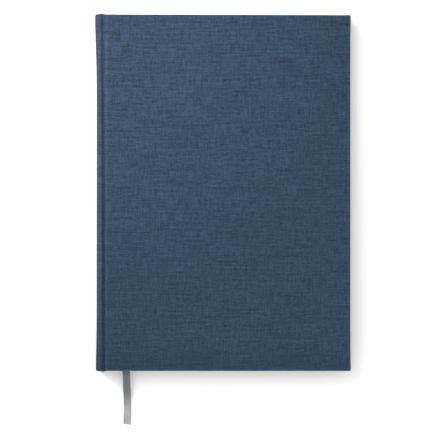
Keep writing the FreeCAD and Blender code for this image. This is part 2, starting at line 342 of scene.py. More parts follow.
def book_cloth():
    """Plain-woven cloth of two yarns: slubs along each yarn, clouds, painted tail shade, worn edges,
    painted highlights.
    """
    s = Shader("book_cloth", 0.86, Specular_IOR_Level=0.28, Sheen_Weight=0.12, Sheen_Roughness=0.5)
    place = s.place()
    u, v, _ = s.split(place)
    waver_u = s.times(s.noise(place, (1300, 60, 1), 1.0), 0.5)
    waver_v = s.times(s.noise(place, (60, 1300, 1), 1.0), 0.5)
    turn_u = s.math("ADD", s.math("DIVIDE", u, WARP_PITCH * MM), waver_u)
    turn_v = s.math("ADD", s.math("DIVIDE", v, WEFT_PITCH * MM), waver_v)
    over_u = s.math("SINE", s.times(turn_u, math.pi))
    over_v = s.math("SINE", s.times(turn_v, math.pi))
    cross = s.times(over_u, over_v)
    weft_up = s.remap(cross, -0.25, 0.25)

    slubs = s.noise(place, (20, 760, 1), 3.0, 0.62)
    weft = s.noise(place, (130, 800, 1), 2.0, 0.55, (3.1, 7.7, 0))
    warp_slubs = s.noise(place, (780, 76, 1), 3.0, 0.6, (9.4, 2.3, 0))
    grain = s.noise(place, (520, 560, 1), 2.0, 0.5, (2.2, 6.1, 0))
    clouds = s.noise(place, (38, 55, 1), 3.0, 0.6, (5.2, 1.1, 0))
    tint = s.noise(place, (70, 110, 1), 3.0, 0.6, (1.7, 8.8, 0))
    weft_tone = s.math("ADD", s.times(slubs, 0.44), s.times(weft, 0.40))
    weft_tone = s.math("ADD", weft_tone, s.times(grain, 0.16))
    warp_tone = s.math("ADD", s.times(warp_slubs, 0.76), s.times(grain, 0.24))
    weft_colour = s.mix(s.remap(weft_tone, 0.39, 0.63), rgb(13, 26, 44), rgb(51, 76, 99))
    warp_colour = s.mix(s.remap(warp_tone, 0.39, 0.64), rgb(14, 28, 47), rgb(43, 67, 90))
    base = s.mix(weft_up, warp_colour, weft_colour)
    base = s.mix(s.remap(clouds, 0.35, 0.68, 0.0, 0.15), base, DEEP_BLUE)
    # Painted shade: the cloth darkens towards the tail edge
    tail_shade_start = (TAIL_SHADE_REACH - HALF_COVER) * MM
    base = s.mix(s.remap(v, tail_shade_start, -HALF_COVER * MM, 0.0, TAIL_SHADE), base, DEEP_BLUE)
    base = s.mix(s.remap(tint, 0.52, 0.70), base, GREENISH, "MULTIPLY")
    # Paler blue for the worn edges and for painted highlights on the shoulder and past the groove
    wear = s.node("ShaderNodeAttribute", attribute_name="wear").outputs["Fac"]
    wear_and_highlight_mix = s.times(wear, s.remap(weft_tone, 0.40, 0.60, 0.05, 0.42))
    s.colour(s.mix(wear_and_highlight_mix, base, PALE_WEAR_AND_HIGHLIGHT))
    s.rough(s.remap(grain, 0.35, 0.65, 0.92, 0.80))
    weft_rise = s.times(s.math("ABSOLUTE", over_v), s.remap(cross, -1.0, 1.0))
    warp_rise = s.times(s.math("ABSOLUTE", over_u), s.remap(cross, 1.0, -1.0))
    relief = s.math("ADD", s.math("MAXIMUM", weft_rise, warp_rise), s.times(weft_tone, 0.7))
    s.bump(relief, CLOTH_RELIEF, 0.85)
    return s.material


def paper(name, colour, ruled=False):
    """Uncoated paper with faint fibres and clouds; ruled adds the unlettered log table."""
    s = Shader(name, 0.88, Specular_IOR_Level=0.25)
    place = s.place()
    clouds = s.noise(place, (60, 60, 1), 3.0, 0.6)
    fibres = s.noise(place, (900, 2600, 1), 2.0, 0.6)
    base = s.mix(s.remap(clouds, 0.3, 0.7), darker(colour, 0.955), rgb(*colour))
    base = s.mix(s.remap(fibres, 0.62, 0.80, 0.0, 0.25), base, darker(colour, 0.88))
    if ruled:
        base = log_table(s, place, base)
    s.colour(base)
    s.rough(s.remap(fibres, 0.3, 0.7, 0.92, 0.84))
    s.bump(s.math("ADD", s.times(fibres, 0.6), s.times(clouds, 0.4)), 0.03, 0.5)
    return s.material


# The log table's lines on a page, in metres from the block's fold and from the page's middle
TABLE_LEFT, TABLE_RIGHT = 0.014, 0.198
TABLE_FOOT, TABLE_HEAD = -0.1310, 0.1330
HEADING_FOOT, TOTALS_HEAD = 0.1115, -0.1045
ROW_PITCH = 0.0090
THIN_RULE, THICK_RULE = 0.00016, 0.00030
COLUMNS = (0.032, 0.058, 0.084, 0.106, 0.128, 0.142, 0.156, 0.170, 0.184)


def within(s, value, low, high):
    """1 between two limits, else 0."""
    above = s.math("GREATER_THAN", value, low)
    return s.times(above, s.math("LESS_THAN", value, high))


def log_table(s, place, paper_colour):
    """Rows and columns for entries, a tinted heading and a tinted totals band, with no lettering."""
    u, v, _ = s.split(place)
    inside = s.times(within(s, u, TABLE_LEFT, TABLE_RIGHT), within(s, v, TABLE_FOOT, TABLE_HEAD))
    rows = s.math("PINGPONG", s.math("SUBTRACT", v, HEADING_FOOT), ROW_PITCH / 2)
    lines = s.math("LESS_THAN", rows, THIN_RULE)
    lines = s.times(lines, within(s, v, TABLE_FOOT, HEADING_FOOT + THIN_RULE))
    for column in COLUMNS:
        lines = s.math("MAXIMUM", lines, s.math("COMPARE", u, column, THIN_RULE))
    for column in (TABLE_LEFT, COLUMNS[2], COLUMNS[4], TABLE_RIGHT):
        lines = s.math("MAXIMUM", lines, s.math("COMPARE", u, column, THICK_RULE))
    for row in (TABLE_FOOT, TOTALS_HEAD, HEADING_FOOT, TABLE_HEAD):
        lines = s.math("MAXIMUM", lines, s.math("COMPARE", v, row, THICK_RULE))
    bands = s.math("MAXIMUM", within(s, v, HEADING_FOOT, TABLE_HEAD),
                   within(s, v, TABLE_FOOT, TOTALS_HEAD))
    tinted = s.mix(s.times(s.times(bands, inside), 0.55), paper_colour, rgb(150, 168, 186))
    return s.mix(s.times(s.times(lines, inside), 0.75), tinted, rgb(62, 88, 120))


def greyboard():
    """Grey millboard with specks of the waste paper that it is made of."""
    s = Shader("greyboard", 0.9, Specular_IOR_Level=0.2)
    place = s.place(uv=False)
    specks = s.noise(place, (1400, 1400, 1400), 2.0, 0.7)
    clouds = s.noise(place, (120, 120, 120), 2.0, 0.5)
    base = s.mix(s.remap(specks, 0.35, 0.7), rgb(112, 108, 101), rgb(150, 146, 137))
    s.colour(s.mix(s.remap(clouds, 0.3, 0.7, 0.0, 0.3), base, rgb(128, 120, 108)))
    s.rough(s.remap(specks, 0.3, 0.7, 0.95, 0.85))
    s.bump(specks, 0.08, 0.6)
    return s.material


def woven_lining(name, colour, pitch):
    """A flat lining: mull's open weave or kraft paper's laid grain, in the frame's own place."""
    s = Shader(name, 0.9, Specular_IOR_Level=0.2)
    place = s.place(uv=False)
    x, y, z = s.split(place)
    net = s.times(s.wave(y, pitch), s.wave(s.math("ADD", z, x), pitch))
    fibres = s.noise(place, (800, 300, 800), 2.0, 0.6)
    base = s.mix(s.remap(net, 0.0, 0.16), rgb(*colour), darker(colour, 0.72))
    s.colour(s.mix(s.remap(fibres, 0.4, 0.7, 0.0, 0.35), base, darker(colour, 0.86)))
    s.rough(s.remap(fibres, 0.3, 0.7, 0.95, 0.85))
    s.bump(net, 0.12, 0.7)
    return s.material


# Threads and selvage in millimetres; along the ribbon, painted shade gives way to painted light between
# a start and an end
PICK_PITCH, END_PITCH = 0.32, 0.24
SELVAGE = 0.45
LIGHT_RAMP_START, LIGHT_RAMP_END = 22.0, 37.0
PAINTED_SHADE_TONE, PAINTED_LIGHT_TONE = (0.66, 0.66, 0.66, 1.0), (1.42, 1.36, 1.30, 1.0)


def satin_ribbon():
    """Satin weave: fine threads both ways, a darker selvage each side, painted shade near and inside the
    block and painted light towards its tip, soft gloss."""
    s = Shader("satin_ribbon", 0.62, Specular_IOR_Level=0.2, Sheen_Weight=0.1, Sheen_Roughness=0.5,
               Anisotropic=0.3)
    place = s.place()
    u, v, _ = s.split(place)
    picks = s.wave(v, PICK_PITCH)
    ends = s.wave(u, END_PITCH)
    uneven = s.noise(place, (1500, 90, 1), 2.0, 0.6)
    selvage = s.math("GREATER_THAN", s.math("ABSOLUTE", u), (RIBBON_WIDTH / 2 - SELVAGE) * MM)
    base = s.mix(s.remap(uneven, 0.3, 0.7), rgb(116, 119, 123), rgb(142, 146, 150))
    base = s.mix(s.times(ends, 0.35), base, rgb(98, 101, 106))
    base = s.mix(s.times(selvage, 0.30), base, rgb(106, 110, 115))
    # Painted shade near and inside the block, painted light towards the tip
    tone = s.mix(s.remap(v, LIGHT_RAMP_START * MM, LIGHT_RAMP_END * MM), PAINTED_SHADE_TONE, PAINTED_LIGHT_TONE)
    s.colour(s.mix(1.0, base, tone, "MULTIPLY"))
    s.rough(s.remap(uneven, 0.3, 0.7, 0.70, 0.55))
    s.bump(s.math("ADD", s.times(picks, 0.8), s.times(selvage, 0.6)), 0.05, 0.7)
    return s.material


STRIPE_PITCH = 1.8


def band_thread():
    """Headband silk: the wraps are geometry, the colours are stripes of the two threads."""
    s = Shader("band_thread", 0.55, Specular_IOR_Level=0.4, Sheen_Weight=0.3)
    place = s.place()
    _, v, _ = s.split(place)
    stripe = s.math("GREATER_THAN", s.wave(v, STRIPE_PITCH), 0.25)
    fibres = s.noise(place, (700, 4200, 1), 2.0, 0.6)
    pale = s.mix(s.remap(fibres, 0.3, 0.7), rgb(214, 214, 208), rgb(236, 236, 230))
    blue = s.mix(s.remap(fibres, 0.3, 0.7), rgb(58, 80, 110), rgb(84, 108, 140))
    s.colour(s.mix(stripe, pale, blue))
    s.rough(s.remap(fibres, 0.3, 0.7, 0.65, 0.45))
    s.bump(fibres, 0.05, 0.6)
    return s.material


def linen_thread():
    """Unbleached sewing thread."""
    s = Shader("linen_thread", 0.7, Specular_IOR_Level=0.3)
    place = s.place(uv=False)
    twist = s.noise(place, (2500, 2500, 600), 2.0, 0.6)
    s.colour(s.mix(s.remap(twist, 0.3, 0.7), rgb(196, 190, 174), rgb(238, 234, 222)))
    s.rough(s.remap(twist, 0.3, 0.7, 0.8, 0.6))
    s.bump(twist, 0.06, 0.8)
    return s.material


def studio_floor():
    """Plain pale paper."""
    s = Shader("studio_floor", 0.95, Specular_IOR_Level=0.1)
    s.set(Base_Color=(0.93, 0.93, 0.93, 1.0))
    return s.material


CLOTH_MATERIAL = book_cloth()
PAGE = paper("log_page", (198, 194, 182), ruled=True)
ENDPAPER = paper("endpaper", (190, 186, 174))
RIBBON = satin_ribbon()
BAND = band_thread()


# Camera: straight above, as far as keeps the covers' sides out of sight

CAMERA_HEIGHT = 1.9
FRAME_SPAN = 0.3814
CAMERA_X, CAMERA_Y = 0.0004, -0.0264
SENSOR = 36.0


def make_camera():
    """The one camera, looking straight down on the closed book."""
    data = bpy.data.cameras.new("camera")
    data.sensor_width = SENSOR
    data.lens = SENSOR * CAMERA_HEIGHT / FRAME_SPAN
    data.clip_end = 20.0
    camera = bpy.data.objects.new("camera", data)
    camera.location = (CAMERA_X, CAMERA_Y, CAMERA_HEIGHT + THICKNESS * MM)
    bpy.context.scene.collection.objects.link(camera)
    bpy.context.scene.camera = camera


# Ribbon marker: the free tail's route, then how the satin departs from a flat strip along it

RIBBON_Z = (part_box("ribbon_in_block")[0].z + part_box("ribbon_in_block")[1].z) / 2 / MM
RIBBON_EXIT = (24.5, -HALF_LEAF, RIBBON_Z)
TAIL_ROUTE = [
    RIBBON_EXIT,
    (24.9, -160.0, RIBBON_Z),
    (25.3, -180.0, 0.145),
    (25.2, -191.0, 0.145),
    (24.9, -198.2, 0.145),
]
TAIL_LENGTH = 50.8
TIP_SLANT = 0.6
TAIL_WAVE, WAVE_FROM_TIP, WAVE_REACH = 0.5, 7.0, 3.2
TAIL_SHIFT, SHIFT_REACH = 0.25, 8.0
CUP = 0.10
SELVAGE_THINNING = 0.75

# Inside the block: up the folds, over the headband with a quarter turn, and down onto the page
OVER_BAND = [
    (3.06, HALF_LEAF - 30, 0), (3.06, HALF_LEAF - 4, 0), (3.06, HALF_LEAF + 0.6, 0), (3.5, 150.4, 0),
    (4.7, 151.1, 0), (6.8, 150.9, 0), (9.4, 149.9, 0), (11.3, 147.6, 0), (11.8, 143.0, 0),
]
TWIST_START, TWIST_SPAN = 0.30, 0.55
TAIL_OVERLAP = 0.2


def route_points(route):
    """The free tail's centreline: the route's points pull one smooth NURBS line."""
    data = bpy.data.curves.new("tail_route", "CURVE")
    data.dimensions = "3D"
    data.resolution_u = 12
    spline = data.splines.new("NURBS")
    spline.points.add(len(route) - 1)
    for point, place in zip(spline.points, route):
        point.co = (*world(*place), 1.0)
    spline.order_u = 3
    spline.use_endpoint_u = True
    curve = bpy.data.objects.new("tail_route", data)
    line = bpy.data.meshes.new_from_object(curve)
    points = [vertex.co.copy() for vertex in line.vertices]
    bpy.data.objects.remove(curve)
    return points


def ribbon_section(centre, across, up, v):
    """Points and uv of the ribbon's cross-section: slightly cupped, with a rolled selvage."""
    half = SATIN_WIDTH / 2
    top, bottom = [], []
    for share in (-1.0, -0.93, -0.5, 0.0, 0.5, 0.93, 1.0):
        cup = CUP * share * share
        flat = RIBBON_THICKNESS / 2 * (SELVAGE_THINNING if abs(share) == 1.0 else 1.0)
        offset = centre + across * (share * half * MM) + up * (cup * MM)
        top.append((offset + up * (flat * MM), (share * half, v)))
        bottom.append((offset - up * (flat * MM), (share * half, v)))
    return top + bottom[::-1]


def ribbon_mesh(name, stations):
    """A closed ribbon through stations of (centre, across, up, v); all but v are in metres."""
    rings = [ribbon_section(*station) for station in stations]
    places = [tuple(p) for section in rings for p, _ in section]
    uv = [c for section in rings for _, c in section]
    obj = mesh_object(name, places, tube_faces(len(rings), len(rings[0])), uv)
    outward(obj)
    shade(obj, RIBBON)
    return obj


def make_tail():
    """The ribbon's free tail, out between the leaves and down onto the table."""
    path = route_points(TAIL_ROUTE)
    stations = []
    run = 0.0
    for i, point in enumerate(path):
        before = path[max(i - 1, 0)]
        after = path[min(i + 1, len(path) - 1)]
        along = (after - before).normalized()
        run += (point - before).length / MM
        across = along.cross(UP).normalized()
        if across.x < 0:
            across.negate()
        up = across.cross(along).normalized()
        if up.z < 0:
            up.negate()
        lift = TAIL_WAVE * math.exp(-((run - TAIL_LENGTH + WAVE_FROM_TIP) / WAVE_REACH) ** 2)
        shift = Vector((TAIL_SHIFT * min(run / SHIFT_REACH, 1.0) * MM, 0, 0))
        stations.append((point + shift + up * (lift * MM), across, up, run))
    tail = ribbon_mesh("ribbon_tail_satin", stations)
    slant_tip(tail, path[-1])
    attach(tail, "section_06")
    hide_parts("ribbon_tail")


def slant_tip(tail, tip):
    """Cuts the tail's end a little aslant, longer on the fore-edge side."""
    for vertex in tail.data.vertices:
        if vertex.co.y < tip.y + 0.2 * MM:
            vertex.co.y -= (vertex.co.x - tip.x) / (RIBBON_WIDTH * MM) * TIP_SLANT * MM


def inner_stations():
    """The ribbon from its glued end, over the headband and along the leaves to the tail edge."""
    band_line = smooth_line(OVER_BAND, 4)
    count = len(band_line)
    stations = []
    run = 0.0
    previous = None
    for i, (x, y, _) in enumerate(band_line):
        turn = ease((i / (count - 1) - TWIST_START) / TWIST_SPAN) * math.pi / 2
        centre = Vector(world(x, y, RIBBON_Z))
        across = Vector((math.sin(turn), 0, math.cos(turn)))
        run += (centre - previous).length / MM if previous else 0.0
        previous = centre
        follow = band_line[min(i + 1, count - 1)] - band_line[max(i - 1, 0)]
        along = Vector(follow).normalized()
        up = across.cross(along).normalized()
        stations.append((centre, across, up, run))
    last = Vector(world(*band_line[-1][:2], RIBBON_Z))
    end = Vector(world(RIBBON_EXIT[0], -HALF_LEAF + TAIL_OVERLAP, RIBBON_Z))
    for step in np.linspace(0.04, 1, 14):
        centre = last.lerp(end, float(step))
        stations.append((centre, Vector((1, 0, 0)), UP, run + (centre - last).length / MM))
    total = stations[-1][3]
    return [(centre, across, up, v - total) for centre, across, up, v in stations]


# Case: boards' cloth with its groove, shoulder and turned-in edges. Both lines are points of x and
# depth from the middle of the spine to the board: the outer face, and where the turned-in cloth lies.

SKIN_OUTSIDE = [
    (0, THICKNESS / 2), (0, 5), (0, 2.7), (0.06, 1.85), (0.35, 1.22), (1.0, 0.86), (2.0, 0.52),
    (3.0, 0.18), (3.7, 0.03), (4.4, 0.17), (4.85, 1.0), (5.2, 1.65), (5.7, 1.85), (6.35, 1.72),
    (7.0, 1.2), (7.8, 0.42), (8.4, 0.08), (9.1, 0.0), (9.8, 0.0),
]
SKIN_INSIDE = [
    (2.65, THICKNESS / 2), (2.65, 5), (2.65, 3.4), (2.66, 2.8), (2.70, 2.3), (2.78, 1.8), (2.88, 1.4),
    (3.0, 1.15), (3.2, 0.98), (3.55, 1.05), (4.0, 1.6), (4.6, 2.25), (5.4, 2.5), (6.3, 2.5),
    (7.1, 2.55), (8.0, 2.72), (8.6, 2.82), (9.1, 2.85), (9.8, 2.85),
]
# Where a face ends and its edges begin, and the rows across it from tail to head
GRID_INSET = 20.0
ROWS = np.array([-131.5, -128, -122, -115, -105, -92, -76, -56, -34, -11])
ROWS = np.concatenate([ROWS, -ROWS[::-1]])
EDGE_TURNS = [math.radians(a) for a in (0, 18, 36, 54, 72, 90)]
SHOULDER_END = 4.0
SLOPE_START, SLOPE_END = 0.3, 3.9

# How this worn book departs from a square one, in millimetres or as a share; where two numbers place
# something, they are its middle and its reach
SPINE_BOW = 0.2
HEAD_FLARE, TAIL_FLARE = 1.4, 0.7
HEAD_REACH, TAIL_REACH = 34.0, 25.0
INNER_FLARE = 0.25
HEAD_SLANT = 0.7
CORNER_SWELL, SWELL_ALONG, SWELL_ACROSS = 0.35, 15.0, 12.0
CAP, SPINE_CAP_SHARE, CAP_FADE = 0.75, 0.45, 13
SPINE_CAP_AT, GROOVE_CAP_AT = (1.5, 2.2), (5.6, 1.5)
SPINE_CORNER = 1.6
HEAD_ZONE, HEAD_ZONE_LENGTH = -20, 170
TAIL_ZONE, TAIL_ZONE_LENGTH = -70, 70
HEAD_NARROWING, GROOVE_AT = 1.25, (6.2, 2.0)
HEAD_SHALLOWING = 0.45
TAIL_LEVELLING = 0.6
TAIL_WIDENING, GROOVE_SLOPE_AT = 0.5, (7.4, 0.8)
SHOULDER_LEAN, LEAN_ALONG, LEAN_ACROSS = 0.45, (-35, 55), (4.2, 0.9)
# Painted highlights on the spine's shoulder and the groove's cover side, where they face the lamps
SHOULDER_HIGHLIGHT, SHOULDER_AT, SHOULDER_HEAD_GAP = 0.35, (2.2, 1.3), 22
RIDGE_HIGHLIGHT, HEAD_RIDGE_HIGHLIGHT, HIGHLIGHT_GROWTH, RIDGE_AT = 0.15, 0.5, 1.8, (8.8, 0.7)
EDGE_WEAR, EDGE_WEAR_REACH = 0.35, 1.2


def bell(value, middle, reach):
    """1 at the middle, falling off smoothly on both sides."""
    return math.exp(-((value - middle) / reach) ** 2)


def flare(y):
    """How far the spine's face stands out, most of all near head and tail."""
    height, reach = (HEAD_FLARE, HEAD_REACH) if y > 0 else (TAIL_FLARE, TAIL_REACH)
    return SPINE_BOW + height * bell(abs(y), HALF_COVER, reach)


def near_head(y):
    """0 up to a little below the book's middle, growing to 1 at its head."""
    return min(max((y - HEAD_ZONE) / HEAD_ZONE_LENGTH, 0.0), 1.0)


def near_tail(y):
    """0 down to halfway between the book's middle and its tail, growing to 1 near the tail."""
    return min(max((TAIL_ZONE - y) / TAIL_ZONE_LENGTH, 0.0), 1.0)


def pressed(x, y):
    """Shift towards the spine: the whole groove's at the head, less where the cloth leans outwards."""
    nearer = HEAD_NARROWING * near_head(y) * bell(x, *GROOVE_AT)
    wider = TAIL_WIDENING * near_tail(y) * bell(x, *GROOVE_SLOPE_AT)
    leaning = SHOULDER_LEAN * bell(y, *LEAN_ALONG) * bell(x, *LEAN_ACROSS)
    return nearer - wider - leaning


def pressing(x, y):
    """Share of the full depth: the groove is less deep at the head, the spine more level at the tail."""
    if SLOPE_START < x < SLOPE_END:
        return 1 - TAIL_LEVELLING * near_tail(y)
    return 1 - HEAD_SHALLOWING * near_head(y) ** 2 if SHOULDER_END < x < JOINT_EDGE else 1.0


def rounding(inset):
    """How far the spine's corner is drawn in at head and tail."""
    short = max(SPINE_CORNER - inset, 0.0)
    return SPINE_CORNER - math.sqrt(SPINE_CORNER ** 2 - short ** 2)


def slant(x, y, inset):
    """The boards' head edge is cut a touch out of square, longer at the spine."""
    near = max(0.0, 1 - inset / GRID_INSET)
    return HEAD_SLANT * (1 - x / COVER_WIDTH) * near if y > 0 else 0.0


def wraps():
    """From the outer face round an edge to the turned-in cloth: (inset, depth share, cloth length)."""
    depth = TURNED_TOP
    loops = [(inset, 0.0) for inset in (GRID_INSET, 15, 11, 7, 4, 2, 1.1)]
    for a in EDGE_TURNS:
        loops.append((EDGE_RADIUS * (1 - math.sin(a)), EDGE_RADIUS * (1 - math.cos(a)) / depth))
    for a in EDGE_TURNS:
        loops.append((EDGE_RADIUS * (1 - math.cos(a)), 1 - EDGE_RADIUS * (1 - math.sin(a)) / depth))
    loops += [(inset, 1.0) for inset in (1.1, 2, 5, 10, TURN_IN)]
    out = []
    length = -GRID_INSET
    before = loops[0]
    for loop in loops:
        length += math.hypot(loop[0] - before[0], (loop[1] - before[1]) * depth)
        out.append((*loop, length))
        before = loop
    return out


class CaseHalf:
    """One cover's cloth from the middle of the spine to the fore-edge, built back cover down."""

    steps = 3
    board_shares = (0.004, 0.02, 0.1, 0.3, 0.5, 0.7, 0.9, 0.98, 1.0)
    corner_turns = 5

    def __init__(self):
        self.outside = smooth_line(SKIN_OUTSIDE, self.steps)
        self.inside = smooth_line(SKIN_INSIDE, self.steps)
        run = np.hypot(*np.diff(self.outside, axis=0).T)
        self.run = np.concatenate([[0], np.cumsum(run)])
        self.points, self.uv, self.wear, self.faces = [], [], [], []

    def spine_share(self, x):
        """1 on the spine, easing to 0 past the shoulder."""
        return float(np.clip(1 - x / SHOULDER_END, 0, 1))

    def painted_highlight(self, x, y):
        """Painted highlight: the cloth is made paler on the spine's shoulder and past the groove, where
        they face the lamps; least at the tail.
        """
        shoulder = SHOULDER_HIGHLIGHT * (1 - bell(y, HALF_COVER, SHOULDER_HEAD_GAP)) * bell(x, *SHOULDER_AT)
        ridge = RIDGE_HIGHLIGHT + HEAD_RIDGE_HIGHLIGHT * min(HIGHLIGHT_GROWTH * near_head(y), 1.0)
        return (shoulder + ridge * bell(x, *RIDGE_AT)) * (1 - near_tail(y))

    def cap(self, x, inset):
        """How far the turned edge stands out at the spine and the groove."""
        bump = SPINE_CAP_SHARE * bell(x, *SPINE_CAP_AT) + bell(x, *GROOVE_CAP_AT)
        return CAP * bump * float(np.clip((TURN_IN - inset) / CAP_FADE, 0, 1))

    def arm(self, side, inset, share, extra):
        """Points along the head (side 1) or tail (side -1) edge, from the spine to the corner."""
        radius = max(CORNER_RADIUS - inset, 0.0)
        row = []
        for out, inn, run in zip(self.outside, self.inside, self.run):
            y = side * (HALF_COVER - inset + self.cap(out[0], inset))
            pull = flare(y) * (1 - (1 - INNER_FLARE) * share) - rounding(inset)
            x = out[0] + share * (inn[0] - out[0])
            x -= pull * self.spine_share(out[0]) + pressed(out[0], y)
            y += slant(x, y, inset)
            depth = out[1] * pressing(out[0], y)
            row.append(((x, y, depth + share * (inn[1] - depth)), (run, y + side * extra)))
        start = self.outside[-1][0]
        corner = COVER_WIDTH - inset - radius
        for part in self.board_shares:
            x = start + part * (corner - start)
            y = side * (HALF_COVER - inset)
            y += slant(x, y, inset)
            row.append(((x, y, share * TURNED_TOP), (self.run[-1] + x - start, y + side * extra)))
        return row

    def corner(self, side, inset, share, extra):
        """Points round a fore-edge corner, from the head or tail edge to the fore-edge."""
        radius = max(CORNER_RADIUS - inset, 0.0)
        cx = COVER_WIDTH - inset - radius
        cy = HALF_COVER - inset - radius
        offset = self.run[-1] - self.outside[-1][0]
        row = []
        for turn in np.linspace(math.pi / 2, 0, self.corner_turns + 2)[1:-1]:
            x = cx + radius * math.cos(turn)
            y = side * (cy + radius * math.sin(turn))
            spot = (x + self.swell(y, inset), y, share * TURNED_TOP)
            row.append((spot, (x + offset + extra * math.cos(turn), y + side * extra * math.sin(turn))))
        return row

    def swell(self, y, inset):
        """The folded corners stand a little proud of the fore-edge."""
        near = bell(abs(y), HALF_COVER, SWELL_ALONG)
        return CORNER_SWELL * near * max(0.0, 1 - inset / SWELL_ACROSS)

    def fore_edge(self, inset, share, extra):
        """Points down the fore-edge, from head to tail."""
        radius = max(CORNER_RADIUS - inset, 0.0)
        reach = HALF_COVER - inset - radius
        x = COVER_WIDTH - inset
        offset = self.run[-1] - self.outside[-1][0]
        return [((x + self.swell(y, inset), y, share * TURNED_TOP), (x + offset + extra, y))
                for y in -ROWS / abs(ROWS[0]) * reach]

    def build(self, name):
        loops = wraps()
        for inset, share, length in loops:
            extra = length + inset
            head = self.arm(1, inset, share, extra) + self.corner(1, inset, share, extra)
            tail = self.arm(-1, inset, share, extra) + self.corner(-1, inset, share, extra)
            row = head + self.fore_edge(inset, share, extra) + tail[::-1]
            # Worn rounded edges; on the outer face also painted highlights on the shoulder and past the
            # groove
            rounded = 1.0 if 0.0 < share < 1.0 else EDGE_WEAR if inset < EDGE_WEAR_REACH else 0.0
            flat = share == 0.0
            self.add(row, [max(rounded, self.painted_highlight(x, y) if flat else 0.0) for (x, y, _), _ in row])
        self.faces += grid_faces(len(loops), len(row))
        self.add_middle()
        obj = make_piece(name, self.points, self.faces, self.uv, self.wear)
        outward(obj, WELD)
        return obj

    def add(self, row, wear):
        self.points += [p for p, _ in row]
        self.uv += [c for _, c in row]
        self.wear += wear

    def add_middle(self):
        """The outer face between the edges, as one grid."""
        first = len(self.points)
        for (x, depth), run in zip(self.outside, self.run):
            share = self.spine_share(x)
            self.add([((x - flare(y) * share - pressed(x, y), y, depth * pressing(x, y)), (run, y))
                      for y in ROWS], [self.painted_highlight(x, y) for y in ROWS])
        start = self.outside[-1][0]
        corner = COVER_WIDTH - GRID_INSET
        for part in self.board_shares:
            x = start + part * (corner - start)
            self.add([((x, y, 0.0), (self.run[-1] + x - start, y)) for y in ROWS], [0.0] * len(ROWS))
        self.faces += grid_faces(len(self.outside) + len(self.board_shares), len(ROWS), first)


def mirror_to_front(obj):
    """Turns a piece built for the back cover into the front cover's."""
    for vertex in obj.data.vertices:
        vertex.co.z = THICKNESS * MM - vertex.co.z
    obj.data.flip_normals()


def make_case(side):
    """The cloth of one cover with its half of the spine and the groove between them."""
    obj = CaseHalf().build(side + "_case_cloth")
    face_towards(obj, (0, 0, -1))
    if side == "front":
        mirror_to_front(obj)
        face_towards(obj, (0, 0, 1))
    thicken(obj, CLOTH)
    shade(obj, CLOTH_MATERIAL)
    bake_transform(obj)
    nodes = [side + "_cover_cloth", side + "_joint_cloth"]
    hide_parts(*nodes, *(["spine_cloth"] if side == "front" else []))


# Pastedowns, each with its strip across the joint

PASTEDOWN_XS = [
    3.45, 6.2, 9.0, 10.5, 14, 24, 33.2, 34.0, 35.2, 60,
    100, 150, 190, 199.6, 200.6, 201.4, 202.2, 207, LEAF_END,
]
PASTEDOWN_YS = [0, 60, 110, 128.8, 129.8, 130.8, 135.0, 135.8, 136.6, 137.6, 143, HALF_LEAF]
PASTEDOWN_YS = [-y for y in PASTEDOWN_YS[:0:-1]] + PASTEDOWN_YS
PASTEDOWN_THICKNESS = 0.12
PASTEDOWN_LIFT = 0.15
FLAP_END_X, FLAP_END_Y, FLAP_STEP = 34.2, 130.2, 0.10
JOINT_RISE = 0.22
STEP_WIDTH = 1.2


def step(value, edge):
    """0 before an edge under the paper and 1 past it."""
    return ease((value - edge) / STEP_WIDTH + 0.5)


def pastedown_level(x, y):
    """Height of the pastedown's face over the table, in millimetres."""
    over_edge = max(step(x, COVER_WIDTH - TURN_IN), step(abs(y), HALF_COVER - TURN_IN))
    over_flap = (1 - step(x, FLAP_END_X)) * (1 - step(abs(y), FLAP_END_Y))
    raised = max((TURNED_TOP - BOARD_TOP) * over_edge, FLAP_STEP * over_flap)
    in_joint = max(0.0, (JOINT_EDGE - x) / (JOINT_EDGE - PASTEDOWN_XS[0]))
    return BOARD_TOP + PASTEDOWN_LIFT + raised + JOINT_RISE * in_joint


def make_pastedown(side):
    """Paper glued inside the board, with the turn-ins and the mull flap showing through as steps."""
    cut = [(x, y) for x in PASTEDOWN_XS for y in PASTEDOWN_YS]
    points = [(x, y, pastedown_level(x, y)) for x, y in cut]
    obj = make_piece(side + "_endpaper", points, grid_faces(len(PASTEDOWN_XS), len(PASTEDOWN_YS)), cut)
    face_towards(obj, (0, 0, 1))
    if side == "front":
        mirror_to_front(obj)
        face_towards(obj, (0, 0, -1))
    thicken(obj, PASTEDOWN_THICKNESS)
    shade(obj, ENDPAPER)
    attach(obj, side + "_cover")
    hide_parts(side + "_pastedown", side + "_endpaper_hinge")


# Leaves

LEAF_PITCH = 0.11
LEAF_GAP = 0.008
FOLD_SPACE = 0.45
LONGEST_TRIM, LONGEST_END_TRIM = 0.16, 0.14
FAR_XS = (25, 40, 70, 110, 150, 185)
LEAF_YS = (-1.0, -0.66, -0.33, 0.0, 0.33, 0.66, 1.0)
FLYLEAF_THICKNESS, FLYLEAF_BEND = 0.13, 1.2
TURNING_THICKNESS, TURNING_BEND_END = 0.09, LEAF_END + 70
LEAF_CLEARANCE = 0.05
NEAR_END, FAR_START = 20, 26
BEND_REACH = {
    "section_10": 2.5, "section_09": 4.0, "section_08": 5.5, "section_07": 7.5, "section_06": 10.0,
    "section_05": 10.0, "section_04": 7.5, "section_03": 5.5, "section_02": 4.0, "section_01": 2.5,
}


def pivot_of(body):
    """Where a leaf body's joint is, as x in millimetres."""
    joint = next(j for j in frame["joints"] if j["child"] == body)
    return (joint["pos_m"][0] - SPINE_FACE) / MM


